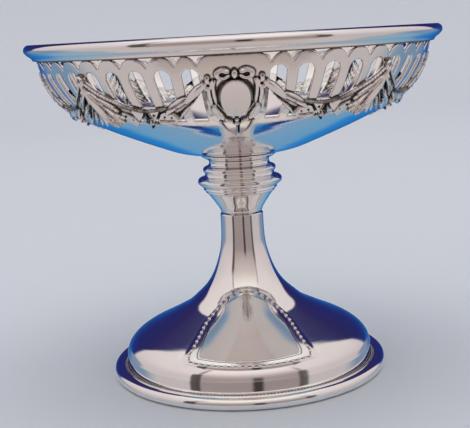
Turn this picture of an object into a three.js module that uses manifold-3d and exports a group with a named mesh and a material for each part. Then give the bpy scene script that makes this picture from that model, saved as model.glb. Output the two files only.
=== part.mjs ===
// A footed silver sherbet dish: a shallow bowl with a pierced arcade, hung with
// garlands between oval wreaths, on a moulded collar and a trumpet stem that
// spreads into a domed foot.
//
// Millimetres, +Z up. The origin is the centre of the foot's resting face, and
// -Y is the front, where one wreath and the foot's shield-shaped reserve are.
// Angles are in degrees about +Z, 0 at the front, growing towards +X.

import * as THREE from "three";
import { mergeVertices } from "three/addons/utils/BufferGeometryUtils.js";
import Module from "manifold-3d";

const wasm = await Module();
wasm.setup();

// ---------------------------------------------------------------- dimensions
const SHEET = 0.9; // wall of the bowl, the gallery and the foot
const GAP = 0.3; // solder line between touching pieces

// Outside of the bowl: [height, radius]
const BOWL_OUT = [
  [58.9, 10.2],
  [59.0, 11.0],
  [60.0, 16.2],
  [62.0, 21.6],
  [64.0, 26.5],
  [66.0, 31.2],
  [68.0, 35.5],
  [70.0, 39.4],
  [72.0, 42.2],
  [74.0, 44.3],
  [77.0, 46.8],
  [80.0, 48.7],
  [83.0, 50.1],
  [86.0, 51.0],
  [90.0, 51.6],
];
const DISH_TOP = 69.6; // seam between the plain dish and the pierced gallery
const GALLERY_TOP = 87.3; // top edge of the gallery, seated in the rim border
const GALLERY_TOP_R = 51.0;

// Arcade
const ARCHES = 48; // bays round the gallery
const ARCH_HALF_ANGLE = 2.28; // half an opening, degrees
const ARCH_SILL = 70.9;
const ARCH_CROWN = 83.0;
const SPANDREL_TIP = 83.7;
const SPANDREL_TOP = 85.6;
const SPANDREL_HALF = 2.1;
const SPANDREL_SHIFT = 1.8; // degrees, away from a wreath, of the nearest one

// Rim border: an applied moulded wire, rebated over the gallery's edge
const RIM_R = 54.0;
const RIM_TOP = 90.0;
const RIM_LOW = 85.9;

// Wreath, boss, garland and drop, on the outside of the gallery
const RELIEF = 1.1; // how far the ornament stands proud
const SWAG_RELIEF = 1.5;
const WREATH_Z = 76.7; // centre height
const WREATH_HALF_ANGLE = 6.7; // centreline of the oval
const WREATH_HALF_HEIGHT = 5.3;
const WREATH_TUBE = 0.72;
const BOSS_HALF_ANGLE = 5.2;
const BOSS_HALF_HEIGHT = 4.2;
const SWAG = [
  // [angle, lower edge, upper edge]
  [8.9, 77.9, 80.2],
  [11.5, 75.9, 78.7],
  [15.0, 73.3, 76.6],
  [18.5, 71.9, 75.3],
  [22.5, 71.3, 74.6],
  [26.0, 70.9, 74.5],
  [29.5, 70.9, 74.8],
  [33.0, 71.2, 75.4],
  [37.0, 71.3, 77.0],
  [40.3, 71.5, 78.6],
  [42.3, 71.8, 79.9],
];
const DROP = [
  // [half angle, height]
  [0.7, 82.3],
  [1.6, 81.2],
  [1.1, 79.4],
  [1.9, 76.0],
  [2.0, 73.0],
  [0.8, 70.6],
];

// Collar between bowl and stem: [radius, height] of the outside
const COLLAR = [
  [5.5, 43.0],
  [6.05, 44.4],
  [7.7, 46.85],
  [8.95, 48.45],
  [9.85, 49.45],
  [10.4, 50.4],
  [11.25, 51.25],
  [11.25, 51.8],
  [10.3, 52.6],
  [9.35, 53.15],
  [9.2, 53.75],
  [9.75, 54.5],
  [8.95, 55.5],
  [7.8, 56.6],
  [8.2, 57.4],
  [10.2, 58.6],
];
const SPIGOT_R = 4.0;
const SPIGOT_TOP = 49.0;

// Outside of the stem and domed foot: [height, radius]
const FOOT_OUT = [
  [1.6, 33.3],
  [6.0, 33.3],
  [8.0, 32.6],
  [10.0, 30.9],
  [12.0, 27.9],
  [14.0, 23.8],
  [16.0, 19.8],
  [18.0, 16.2],
  [20.0, 13.8],
  [23.0, 10.7],
  [26.0, 8.7],
  [30.0, 7.1],
  [34.0, 6.1],
  [38.0, 5.8],
  [42.7, 5.75],
];
const STEM_HOLLOW_TOP = 39.0;

// Foot border: an applied moulded ring with a shelf under the dome's edge
const FOOT_BORDER = [
  [31.8, 0.0],
  [35.9, 0.0],
  [36.95, 0.85],
  [37.1, 1.7],
  [36.4, 2.95],
  [35.1, 3.32],
  [34.4, 3.2],
  [33.7, 2.5],
  [33.7, 1.3],
  [31.8, 1.3],
];
const FOOT_WIRE = { r: 33.87, z: 3.45, tube: 0.25 };

// Shield-shaped reserve on the front of the foot: [height, half angle, extra
// thickness that makes its face straight from bottom to top]
const CARTOUCHE = [
  [9.9, 29.0, 0.0],
  [10.9, 30.6, 0.0],
  [12.4, 30.8, 0.05],
  [14.4, 32.0, 0.65],
  [16.7, 33.8, 1.24],
  [19.0, 31.0, 1.33],
  [21.0, 24.0, 0.95],
  [22.4, 11.0, 0.62],
];
const CARTOUCHE_LIFT = 0.45;
const CARTOUCHE_THICK = 0.35;
const CARTOUCHE_WIRE = 0.4;

// ------------------------------------------------------------------ helpers
const rad = THREE.MathUtils.degToRad;

// Radius of a [height, radius] table at a height.
function radiusAt(table, z) {
  let i = 1;
  while (i < table.length - 1 && z > table[i][0]) i++;
  const [z0, r0] = table[i - 1];
  const [z1, r1] = table[i];
  return r0 + ((z - z0) / (z1 - z0)) * (r1 - r0);
}

// Outward unit normal [radial, vertical] of a turned surface at a height.
function normalAt(table, z) {
  const lo = Math.max(z - 1, table[0][0]);
  const hi = Math.min(z + 1, table[table.length - 1][0]);
  const dr = radiusAt(table, hi) - radiusAt(table, lo);
  const dz = hi - lo;
  const n = Math.hypot(dr, dz);
  return [dz / n, -dr / n];
}

// A point on a turned surface, lifted off it along the normal.
function onSurface(table, angle, z, lift) {
  const [nr, nz] = normalAt(table, z);
  const r = radiusAt(table, z) + lift * nr;
  const a = rad(angle);
  return new THREE.Vector3(r * Math.sin(a), -r * Math.cos(a), z + lift * nz);
}

// Only positions, with shared corners joined.
function welded(geometry) {
  const g = new THREE.BufferGeometry();
  g.setAttribute("position", geometry.getAttribute("position").clone());
  if (geometry.index) g.setIndex(geometry.index.clone());
  return mergeVertices(g, 1e-3);
}

// Moves every corner of a geometry by a function of its position.
function bent(geometry, place) {
  const g = geometry.clone();
  const p = g.getAttribute("position");
  const v = new THREE.Vector3();
  for (let i = 0; i < p.count; i++) {
    v.fromBufferAttribute(p, i);
    const w = place(v);
    p.setXYZ(i, w.x, w.y, w.z);
  }
  return welded(g);
}

// A profile of [radius, height] points turned about +Z. Angle 0 is the front.
function turned(profile, segments) {
  const g = new THREE.LatheGeometry(
    profile.map(([r, z]) => new THREE.Vector2(r, z)),
    segments,
  );
  g.rotateX(Math.PI / 2);
  return welded(g);
}

function solid(geometry) {
  const g = welded(geometry);
  return new wasm.Manifold(
    new wasm.Mesh({
      numProp: 3,
      vertProperties: new Float32Array(g.getAttribute("position").array),
      triVerts: new Uint32Array(g.index.array),
    }),
  );
}

function geometryOf(manifold) {
  const m = manifold.getMesh();
  const g = new THREE.BufferGeometry();
  g.setAttribute("position", new THREE.BufferAttribute(m.vertProperties, 3));
  g.setIndex(new THREE.BufferAttribute(m.triVerts, 1));
  return g;
}

const part = new THREE.Group();

function add(parent, name, geometry, look) {
  const g = geometry.clone();
  g.computeVertexNormals();
  const mesh = new THREE.Mesh(g, new THREE.MeshStandardMaterial(look));
  mesh.name = name;
  parent.add(mesh);
  return mesh;
}

const POLISHED = { color: 0xdedbd4, roughness: 0.1, metalness: 1.0 };
const CHASED = { color: 0xb9b5ac, roughness: 0.28, metalness: 1.0 };

// ----------------------------------------------------------- bowl and gallery
function walled(heights) {
  const outer = heights.map((z) => [radiusAt(BOWL_OUT, z), z]);
  const inner = heights.map((z) => {
    const [nr, nz] = normalAt(BOWL_OUT, z);
    return [radiusAt(BOWL_OUT, z) - SHEET * nr, z - SHEET * nz];
  });
  return [outer, inner];
}

// Plain spun dish
{
  const heights = [59.0, 60.0, 62.0, 64.0, 66.0, 68.0, DISH_TOP];
  const [outer, inner] = walled(heights);
  const base = 58.9;
  const floor = base + SHEET;
  const profile = [
    [0, base],
    [10.2, base],
    ...outer,
    ...inner.slice(2).reverse(),
    [14.2, 60.5],
    [7.4, floor],
    [0, floor],
  ];
  add(part, "bowl_dish", turned(profile, 40), POLISHED);
}

// Pierced gallery: a flaring band of sheet, one bay at a time. Each bay runs
// from pier to pier, with an arch in its middle and half a spandrel each side.
{
  const pitch = 360 / ARCHES;
  const edge = pitch / 2;
  const [nr] = normalAt(BOWL_OUT, DISH_TOP);
  const start = DISH_TOP + GAP * nr; // nr is also the rise of the tangent
  const width = (mm, z) => THREE.MathUtils.radToDeg(mm / radiusAt(BOWL_OUT, z));

  const crown = radiusAt(BOWL_OUT, ARCH_CROWN - 2) * rad(ARCH_HALF_ANGLE);
  const spring = ARCH_CROWN - crown;
  const arch = [
    [-ARCH_HALF_ANGLE, ARCH_SILL],
    [-ARCH_HALF_ANGLE, 75.2],
    [-ARCH_HALF_ANGLE, spring],
    [-ARCH_HALF_ANGLE * 0.5, spring + crown * 0.866],
    [ARCH_HALF_ANGLE * 0.5, spring + crown * 0.866],
    [ARCH_HALF_ANGLE, spring],
    [ARCH_HALF_ANGLE, 75.2],
    [ARCH_HALF_ANGLE, ARCH_SILL],
  ];
  const tip = edge - width(0.34 * SPANDREL_HALF, SPANDREL_TIP);
  const wide = edge - width(SPANDREL_HALF, SPANDREL_TOP);
  const pierSide = [72.8, 77.5];
  const notch = [
    [edge, SPANDREL_TIP],
    [tip, SPANDREL_TIP + 1.1],
    [wide, SPANDREL_TOP],
    [edge, SPANDREL_TOP],
  ];
  const plainSide = [
    [edge, SPANDREL_TIP],
    [edge, SPANDREL_TOP],
  ];
  // The spandrel next to a wreath lies mostly in the first open bay.
  const low = edge - tip;
  const high = edge - wide;
  const meet = SPANDREL_TIP + 1.1;
  const share = (SPANDREL_SHIFT - low) / (high - low);
  const crossing = meet + (SPANDREL_TOP - meet) * share;
  const shifted = [
    [edge, crossing],
    [edge - SPANDREL_SHIFT + low, meet],
    [edge - SPANDREL_SHIFT, SPANDREL_TIP],
    [edge - SPANDREL_SHIFT - low, meet],
    [edge - SPANDREL_SHIFT - high, SPANDREL_TOP],
    [edge, SPANDREL_TOP],
  ];
  const sliver = [
    [edge, crossing],
    [edge + SPANDREL_SHIFT - high, SPANDREL_TOP],
    [edge, SPANDREL_TOP],
  ];
  const mirrored = (points) => points.map(([a, z]) => [-a, z]).reverse();

  const corners = [];
  const place = (angle, z, lift) => {
    const w =
      z > 86
        ? new THREE.Vector3(
            (GALLERY_TOP_R + lift) * Math.sin(rad(angle)),
            -(GALLERY_TOP_R + lift) * Math.cos(rad(angle)),
            z,
          )
        : onSurface(BOWL_OUT, angle, z, lift);
    return [w.x, w.y, w.z];
  };
  const triangle = (...points) => corners.push(...points.flat());

  for (let k = 0; k < ARCHES; k++) {
    const bay = (k + 0.5) * pitch;
    // The two bays behind each wreath stay solid.
    const open = Math.abs(((bay + 45) % 90) - 45) > pitch;
    const cutRight = ((k + 1) * pitch) % 90 !== 0;
    const cutLeft = (k * pitch) % 90 !== 0;
    const fromWreath = ((bay + 45) % 90) - 45;
    const side = (border, cut) => {
      if (Math.abs(Math.abs(border) - pitch) < 1e-6) return open ? shifted : sliver;
      return cut ? notch : plainSide;
    };
    const right = side(fromWreath + edge, cutRight);
    const left = mirrored(side(fromWreath - edge, cutLeft));
    const outline = [
      [-edge, start],
      [edge, start],
      ...pierSide.map((z) => [edge, z]),
      ...right,
      [edge, GALLERY_TOP],
      [-edge, GALLERY_TOP],
      ...left,
      ...[...pierSide].reverse().map((z) => [-edge, z]),
    ];
    const holes = open ? [arch] : [];
    const vectors = (list) => list.map(([x, y]) => new THREE.Vector2(x, y));
    const faces = THREE.ShapeUtils.triangulateShape(
      vectors(outline),
      holes.map(vectors),
    );
    const all = [...outline, ...holes.flat()];
    const outer = all.map(([a, z]) => place(bay + a, z, 0));
    const inner = all.map(([a, z]) => place(bay + a, z, -SHEET));
    for (const [i, j, l] of faces) {
      triangle(outer[i], outer[j], outer[l]);
      triangle(inner[i], inner[l], inner[j]);
    }
    // Walls along every true edge; the sides shared with the next bay are open.
    const wall = (i, j) => {
      triangle(outer[i], inner[i], inner[j]);
      triangle(outer[i], inner[j], outer[j]);
    };
    const n = outline.length;
    const pier = (i) => Math.abs(Math.abs(outline[i][0]) - edge) < 1e-9;
    const sameSide = (i, j) =>
      pier(i) && pier(j) && outline[i][0] * outline[j][0] > 0;
    const within = (i, j) => {
      const z = (outline[i][1] + outline[j][1]) / 2;
      const cut = outline[i][0] > 0 ? cutRight : cutLeft;
      return cut && z > SPANDREL_TIP && z < SPANDREL_TOP;
    };
    for (let i = 0; i < n; i++) {
      const j = (i + 1) % n;
      if (!sameSide(i, j) || within(i, j)) wall(i, j);
    }
    for (let i = 0; open && i < arch.length; i++)
      wall(n + i, n + ((i + 1) % arch.length));
  }
  const band = new THREE.BufferGeometry();
  band.setAttribute("position", new THREE.Float32BufferAttribute(corners, 3));
  add(part, "gallery", welded(band), POLISHED);
}

// Rim border
{
  const skirt = GALLERY_TOP_R + GAP;
  const seat = GALLERY_TOP + GAP;
  const profile = [
    [skirt, RIM_LOW],
    [51.9, RIM_LOW + 0.1],
    [52.6, RIM_LOW + 0.95],
    [RIM_R - 0.4, RIM_LOW + 1.8],
    [RIM_R, RIM_LOW + 2.65],
    [RIM_R - 0.5, RIM_TOP - 0.35],
    [RIM_R - 1.2, RIM_TOP],
    [51.4, RIM_TOP - 0.6],
    [50.4, RIM_TOP - 1.9],
    [50.0, seat],
    [skirt, seat],
    [skirt, RIM_LOW],
  ];
  add(part, "rim_border", turned(profile, 48), POLISHED);
}

// ------------------------------------------------------------------ ornament
// One quarter's ornament, built about angle 0 and turned into place.
const DEG_MM = 0.81; // millimetres to a degree at the wreath's height

function onGallery(v) {
  return onSurface(BOWL_OUT, v.x / DEG_MM, v.y, v.z);
}

// A strip of [angle, lower, upper] stations as a thin bent slab.
function strip(stations, low, high) {
  const n = stations.length - 1;
  const g = new THREE.BoxGeometry(1, 1, 1, n, 2, 1);
  return bent(g, (v) => {
    const t = Math.round((v.x + 0.5) * n);
    const [angle, lower, upper] = stations[t];
    const z = lower + (v.y + 0.5) * (upper - lower);
    const ridge = Math.abs(v.y) < 0.01 ? 1 : 0.55;
    const lift = v.z < 0 ? low : low + (high - low) * ridge;
    return onSurface(BOWL_OUT, angle, z, lift);
  });
}

const boss = bent(new THREE.SphereGeometry(1, 12, 5), (v) =>
  onGallery(
    new THREE.Vector3(
      v.x * BOSS_HALF_ANGLE * DEG_MM,
      WREATH_Z + v.y * BOSS_HALF_HEIGHT,
      GAP + Math.max(0, v.z) * RELIEF,
    ),
  ),
);

const wreath = (() => {
  const ring = bent(new THREE.TorusGeometry(1, 0.2, 4, 18), (v) => {
    const d = Math.hypot(v.x, v.y);
    const out = (d - 1) / 0.2; // -1 to 1 across the ring
    const a = WREATH_HALF_ANGLE * DEG_MM + out * WREATH_TUBE;
    const b = WREATH_HALF_HEIGHT + out * WREATH_TUBE * 0.8;
    const lift = GAP + 0.55 * RELIEF + (v.z / 0.2) * 0.55 * RELIEF;
    return onGallery(
      new THREE.Vector3((v.x / d) * a, WREATH_Z + (v.y / d) * b, lift),
    );
  });
  const lump = (angle, z, half, high, tilt) =>
    bent(new THREE.SphereGeometry(1, 6, 3), (v) => {
      const c = Math.cos(rad(tilt));
      const s = Math.sin(rad(tilt));
      const x = v.x * half;
      const y = v.y * high;
      return onGallery(
        new THREE.Vector3(
          angle * DEG_MM + c * x - s * y,
          z + s * x + c * y,
          GAP + 0.5 * RELIEF + v.z * 0.5 * RELIEF,
        ),
      );
    });
  const tail = bent(new THREE.BoxGeometry(1, 1, 1, 2, 2, 1), (v) => {
    const z = 71.4 + (v.y - 0.5) * 3.3;
    const half = v.y > 0.4 ? 2.4 : v.y > -0.1 ? 2.9 : 1.1;
    return onGallery(
      new THREE.Vector3(
        2 * v.x * half,
        z + (Math.abs(v.x) < 0.1 ? -0.2 : 0.3),
        v.z < 0 ? GAP : GAP + 0.9,
      ),
    );
  });
  let w = solid(ring);
  for (const s of [-1, 1]) {
    w = w.add(solid(lump(s * 3.3, 82.2, 2.1, 1.2, s * 8)));
    w = w.add(solid(lump(s * 7.0, 79.9, 0.85, 1.4, 0)));
  }
  w = w.add(solid(lump(0, 82.3, 0.9, 0.9, 0)));
  return geometryOf(w.add(solid(tail)));
})();

const swag = strip(SWAG, GAP, GAP + SWAG_RELIEF);

const drop = (() => {
  const n = DROP.length - 1;
  return bent(new THREE.BoxGeometry(1, 1, 1, 2, n, 1), (v) => {
    const [half, z] = DROP[n - Math.round((v.y + 0.5) * n)];
    const ridge = Math.abs(v.x) < 0.01 ? 1 : 0.5;
    const lift = v.z < 0 ? GAP : GAP + RELIEF * ridge;
    return onSurface(BOWL_OUT, 2 * v.x * half, z, lift);
  });
})();

const QUARTERS = [
  ["front", "right"],
  ["right", "back"],
  ["back", "left"],
  ["left", "front"],
];
QUARTERS.forEach(([here, next], q) => {
  const before = QUARTERS[(q + 3) % 4][0];
  const quarter = new THREE.Group();
  quarter.rotation.z = rad(90 * q);
  part.add(quarter);
  add(quarter, `wreath_${here}`, wreath, CHASED);
  add(quarter, `boss_${here}`, boss, POLISHED);
  add(quarter, `swag_${here}_to_${next}`, swag, CHASED);
  add(quarter, `swag_${here}_to_${before}`, swag, CHASED).scale.x = -1;
  add(quarter, `drop_${here}_${next}`, drop, CHASED).rotation.z = rad(45);
});

// ------------------------------------------------------ collar, stem and foot
{
  const bore = SPIGOT_R + GAP;
  const top = SPIGOT_TOP + GAP;
  const profile = [[0, top], [bore, top], [bore, 43.0], ...COLLAR, [0, 58.6]];
  add(part, "collar", turned(profile, 26), POLISHED);
}
{
  const inner = FOOT_OUT.filter(([z], i) => i % 2 === 1 && z < STEM_HOLLOW_TOP).map(
    ([z, r]) => {
      const [nr, nz] = normalAt(FOOT_OUT, z);
      return [r - SHEET * nr, z - SHEET * nz];
    },
  );
  const profile = [
    ...FOOT_OUT.map(([z, r]) => [r, z]),
    [SPIGOT_R, 42.7],
    [SPIGOT_R, SPIGOT_TOP],
    [0, SPIGOT_TOP],
  ];
  const hollow = [
    [0, STEM_HOLLOW_TOP],
    ...inner.reverse(),
    [33.3 - SHEET, 1.6],
    [33.3, 1.6],
  ];
  add(part, "stem_foot", turned([...profile, ...hollow], 34), POLISHED);
}
add(
  part,
  "foot_border",
  turned([...FOOT_BORDER, FOOT_BORDER[0]], 48),
  POLISHED,
);
{
  const { r, z, tube } = FOOT_WIRE;
  const g = new THREE.TorusGeometry(r, tube, 4, 48);
  g.translate(0, 0, z);
  add(part, "foot_bead_wire", welded(g), CHASED);
}

// ------------------------------------------------------------------ cartouche
{
  const n = CARTOUCHE.length - 1;
  const plate = bent(new THREE.BoxGeometry(1, 1, 1, 8, n, 1), (v) => {
    const [z, half, extra] = CARTOUCHE[Math.round((v.y + 0.5) * n)];
    const lift = CARTOUCHE_LIFT + (v.z < 0 ? 0 : CARTOUCHE_THICK + extra);
    return onSurface(FOOT_OUT, 2 * v.x * half, z, lift);
  });
  add(part, "cartouche_plate", plate, POLISHED);

  // The wire runs round the plate, a gap outside its edge.
  const edge = [];
  const margin = CARTOUCHE_WIRE + GAP + 0.15;
  const lift = CARTOUCHE_LIFT + CARTOUCHE_WIRE;
  const spread = (z) => (margin / radiusAt(FOOT_OUT, z)) * (180 / Math.PI);
  for (const t of [-1, -0.5, 0, 0.5, 1])
    edge.push(
      onSurface(
        FOOT_OUT,
        t * (CARTOUCHE[0][1] + spread(CARTOUCHE[0][0])),
        CARTOUCHE[0][0] - 0.75,
        lift,
      ),
    );
  const side = CARTOUCHE.slice(1, -1);
  for (const [z, half, extra] of side)
    edge.push(onSurface(FOOT_OUT, half + 1.25 * spread(z), z, lift + extra));
  for (const t of [1, 0, -1])
    edge.push(
      onSurface(
        FOOT_OUT,
        t * CARTOUCHE[n][1],
        CARTOUCHE[n][0] + 0.75,
        lift + CARTOUCHE[n][2],
      ),
    );
  for (const [z, half, extra] of [...side].reverse())
    edge.push(onSurface(FOOT_OUT, -half - 1.25 * spread(z), z, lift + extra));
  const path = new THREE.CatmullRomCurve3(edge, true, "centripetal");
  const wire = new THREE.TorusGeometry(1, 0.2, 4, 40);
  const frames = path.computeFrenetFrames(40, true);
  const points = path.getSpacedPoints(40);
  const bead = bent(wire, (v) => {
    const turn = Math.atan2(v.y, v.x) / (2 * Math.PI);
    const i = Math.round((turn + 1) * 40) % 40;
    const out = (Math.hypot(v.x, v.y) - 1) / 0.2;
    const up = v.z / 0.2;
    return points[i]
      .clone()
      .addScaledVector(frames.normals[i], out * CARTOUCHE_WIRE)
      .addScaledVector(frames.binormals[i], -up * CARTOUCHE_WIRE);
  });
  add(part, "cartouche_wire", bead, CHASED);
}

export default part;
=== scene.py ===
import math

import bpy
import numpy as np
from mathutils import Matrix, Vector


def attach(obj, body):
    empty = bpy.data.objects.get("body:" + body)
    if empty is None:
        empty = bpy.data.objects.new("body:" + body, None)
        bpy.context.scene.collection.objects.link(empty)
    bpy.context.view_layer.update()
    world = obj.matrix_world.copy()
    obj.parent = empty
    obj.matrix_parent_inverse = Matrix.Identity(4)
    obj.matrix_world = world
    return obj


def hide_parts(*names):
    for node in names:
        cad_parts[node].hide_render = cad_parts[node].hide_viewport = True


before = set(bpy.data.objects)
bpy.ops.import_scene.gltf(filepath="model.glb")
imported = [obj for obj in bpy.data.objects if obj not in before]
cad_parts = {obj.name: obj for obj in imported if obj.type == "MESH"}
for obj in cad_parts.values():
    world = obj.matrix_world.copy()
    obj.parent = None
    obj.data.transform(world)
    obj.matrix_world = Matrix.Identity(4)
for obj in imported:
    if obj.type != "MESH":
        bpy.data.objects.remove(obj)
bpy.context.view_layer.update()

MM = 0.001
scene = bpy.context.scene

# ------------------------------------------------------------------ profiles
# Radius and height in mm, about the vertical axis. Angles are in degrees about
# that axis, 0 at the front (-Y), growing toward +X.


def spline(points, step=0.2):
    """Centripetal curve through the points, sampled about every step mm."""
    p = np.asarray(points, float)
    p = np.vstack([2 * p[0] - p[1], p, 2 * p[-1] - p[-2]])
    out = []
    for i in range(1, len(p) - 2):
        a, b, c, d = p[i - 1], p[i], p[i + 1], p[i + 2]
        t0 = 0.0
        t1 = t0 + max(np.linalg.norm(b - a), 1e-6) ** 0.5
        t2 = t1 + max(np.linalg.norm(c - b), 1e-6) ** 0.5
        t3 = t2 + max(np.linalg.norm(d - c), 1e-6) ** 0.5
        n = max(2, int(math.ceil(np.linalg.norm(c - b) / step)))
        for k in range(n):
            t = t1 + (t2 - t1) * k / n
            a1 = a * (t1 - t) / (t1 - t0) + b * (t - t0) / (t1 - t0)
            a2 = b * (t2 - t) / (t2 - t1) + c * (t - t1) / (t2 - t1)
            a3 = c * (t3 - t) / (t3 - t2) + d * (t - t2) / (t3 - t2)
            b1 = a1 * (t2 - t) / (t2 - t0) + a2 * (t - t0) / (t2 - t0)
            b2 = a2 * (t3 - t) / (t3 - t1) + a3 * (t - t1) / (t3 - t1)
            out.append(b1 * (t2 - t) / (t2 - t1) + b2 * (t - t1) / (t2 - t1))
    out.append(p[-2])
    return np.array(out)


def chain(*parts):
    """Join runs of points, dropping the ones that repeat."""
    out = []
    for part in parts:
        for q in np.asarray(part, float):
            if not out or np.linalg.norm(q - out[-1]) > 1e-4:
                out.append(q)
    return np.array(out)


def offset(line, d):
    """The line moved d mm to the right of its direction."""
    t = np.gradient(line, axis=0)
    t /= np.linalg.norm(t, axis=1)[:, None]
    return line + d * np.stack([t[:, 1], -t[:, 0]], 1)


class Turned:
    """A surface of revolution addressed by angle and by height or arc length."""

    def __init__(self, points):
        line = spline(points, 0.05)
        self.r, self.z = line[:, 0], line[:, 1]
        seg = np.hypot(np.diff(self.r), np.diff(self.z))
        self.s = np.concatenate([[0.0], np.cumsum(seg)])
        dr, dz = np.gradient(self.r), np.gradient(self.z)
        ln = np.hypot(dr, dz)
        self.nr, self.nz = dz / ln, -dr / ln

    def s_of(self, z):
        return np.interp(z, self.z, self.s)

    def z_of(self, s):
        return np.interp(s, self.s, self.z)

    def r_of_s(self, s):
        return np.interp(s, self.s, self.r)

    def place(self, angle, s, lift):
        """Points in mm from angle in degrees, arc length and lift off the skin."""
        r = np.interp(s, self.s, self.r) + lift * np.interp(s, self.s, self.nr)
        z = np.interp(s, self.s, self.z) + lift * np.interp(s, self.s, self.nz)
        a = np.radians(angle)
        return np.stack([r * np.sin(a), -r * np.cos(a), z], -1)


SHEET = 0.9
BOWL = [(7.6, 58.6), (11, 59), (16.2, 60), (21.6, 62), (26.5, 64), (31.2, 66),
        (35.5, 68), (39.4, 70), (42.2, 72), (44.3, 74), (46.8, 77), (48.7, 80),
        (50.1, 83), (51.0, 86), (51.1, 88)]
FOOT = [(33.3, 1.6), (33.3, 6), (32.6, 8), (30.9, 10), (27.9, 12), (23.8, 14),
        (19.8, 16), (16.2, 18), (13.8, 20), (10.7, 23), (8.7, 26), (7.1, 30),
        (6.1, 34), (5.8, 38), (5.75, 42.7)]
bowl = Turned(BOWL)
foot = Turned(FOOT[1:])
DISH_TOP = 69.6
GALLERY_TOP = 87.3

# ------------------------------------------------------------------ materials


def new_material(name):
    m = bpy.data.materials.new(name)
    m.use_nodes = True
    nt = m.node_tree
    nt.nodes.clear()
    out = nt.nodes.new("ShaderNodeOutputMaterial")
    bsdf = nt.nodes.new("ShaderNodeBsdfPrincipled")
    nt.links.new(bsdf.outputs["BSDF"], out.inputs["Surface"])
    return m, nt, bsdf


def noise(nt, scale, detail=3.0, rough=0.5, stretch=None):
    co = nt.nodes.new("ShaderNodeTexCoord")
    n = nt.nodes.new("ShaderNodeTexNoise")
    n.inputs["Scale"].default_value = scale
    n.inputs["Detail"].default_value = detail
    n.inputs["Roughness"].default_value = rough
    if stretch:
        mp = nt.nodes.new("ShaderNodeMapping")
        mp.inputs["Scale"].default_value = stretch
        nt.links.new(co.outputs["Object"], mp.inputs["Vector"])
        nt.links.new(mp.outputs["Vector"], n.inputs["Vector"])
    else:
        nt.links.new(co.outputs["Object"], n.inputs["Vector"])
    return n.outputs["Fac"]


def ranged(nt, fac, lo, hi, a, b):
    mr = nt.nodes.new("ShaderNodeMapRange")
    mr.inputs["From Min"].default_value = lo
    mr.inputs["From Max"].default_value = hi
    mr.inputs["To Min"].default_value = a
    mr.inputs["To Max"].default_value = b
    nt.links.new(fac, mr.inputs["Value"])
    return mr.outputs["Result"]


def mixed(nt, fac, a, b):
    mx = nt.nodes.new("ShaderNodeMix")
    mx.data_type = "RGBA"
    nt.links.new(fac, mx.inputs["Factor"])
    for sock, v in ((mx.inputs[6], a), (mx.inputs[7], b)):
        if isinstance(v, tuple):
            sock.default_value = (*v, 1.0)
        else:
            nt.links.new(v, sock)
    return mx.outputs[2]


def math_node(nt, op, a, b):
    m = nt.nodes.new("ShaderNodeMath")
    m.operation = op
    for sock, v in ((m.inputs[0], a), (m.inputs[1], b)):
        if isinstance(v, (int, float)):
            sock.default_value = v
        else:
            nt.links.new(v, sock)
    return m.outputs[0]


def bump(nt, bsdf, height, strength, distance):
    b = nt.nodes.new("ShaderNodeBump")
    b.inputs["Strength"].default_value = strength
    b.inputs["Distance"].default_value = distance
    nt.links.new(height, b.inputs["Height"])
    nt.links.new(b.outputs["Normal"], bsdf.inputs["Normal"])


def silver_polished():
    m, nt, bsdf = new_material("silver_polished")
    cloud = noise(nt, 55.0, 4.0, 0.55)
    fine = noise(nt, 900.0, 4.0, 0.6, (1.0, 1.0, 5.0))
    clean = mixed(nt, ranged(nt, cloud, 0.3, 0.7, 0.0, 1.0),
                  (0.955, 0.945, 0.925), (0.905, 0.895, 0.88))
    # patina_and_shade darkens the silver: tarnish in hollows together with painted shade and painted shadow
    at = nt.nodes.new("ShaderNodeAttribute")
    at.attribute_name = "patina_and_shade"
    tint = mixed(nt, at.outputs["Fac"], clean, (0.075, 0.062, 0.055))
    nt.links.new(tint, bsdf.inputs["Base Color"])
    bsdf.inputs["Metallic"].default_value = 1.0
    both = math_node(nt, "ADD", math_node(nt, "MULTIPLY", cloud, 0.6),
                     math_node(nt, "MULTIPLY", fine, 0.4))
    nt.links.new(ranged(nt, both, 0.3, 0.7, 0.035, 0.10), bsdf.inputs["Roughness"])
    bump(nt, bsdf, math_node(nt, "ADD", math_node(nt, "MULTIPLY", noise(nt, 38.0, 2.0), 1.0),
                             math_node(nt, "MULTIPLY", fine, 0.02)), 0.06, 0.004)
    return m


def silver_chased():
    m, nt, bsdf = new_material("silver_chased")
    at = nt.nodes.new("ShaderNodeAttribute")
    at.attribute_name = "patina_and_shade"
    spots = noise(nt, 700.0, 4.0, 0.6)
    # darkening: the attribute's tarnish and painted shade, plus random tarnish spots
    tarnish_shade_and_spots = math_node(nt, "ADD", at.outputs["Fac"],
                     ranged(nt, spots, 0.35, 0.7, -0.12, 0.14))
    fac = ranged(nt, tarnish_shade_and_spots, 0.12, 0.9, 0.0, 1.0)
    tint = mixed(nt, fac, (0.93, 0.91, 0.88), (0.075, 0.062, 0.055))
    nt.links.new(tint, bsdf.inputs["Base Color"])
    bsdf.inputs["Metallic"].default_value = 1.0
    nt.links.new(ranged(nt, fac, 0.0, 1.0, 0.085, 0.42), bsdf.inputs["Roughness"])
    bump(nt, bsdf, noise(nt, 1500.0, 3.0), 0.10, 0.0002)
    return m


def floor_material():
    m, nt, bsdf = new_material("studio_floor")
    fac = noise(nt, 3.0, 2.0, 0.4)
    tint = mixed(nt, ranged(nt, fac, 0.3, 0.7, 0.0, 1.0),
                 (0.70, 0.755, 0.81), (0.72, 0.77, 0.82))
    nt.links.new(tint, bsdf.inputs["Base Color"])
    bsdf.inputs["Roughness"].default_value = 0.75
    return m


POLISHED = silver_polished()
CHASED = silver_chased()

# ------------------------------------------------------------------ mesh tools


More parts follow.
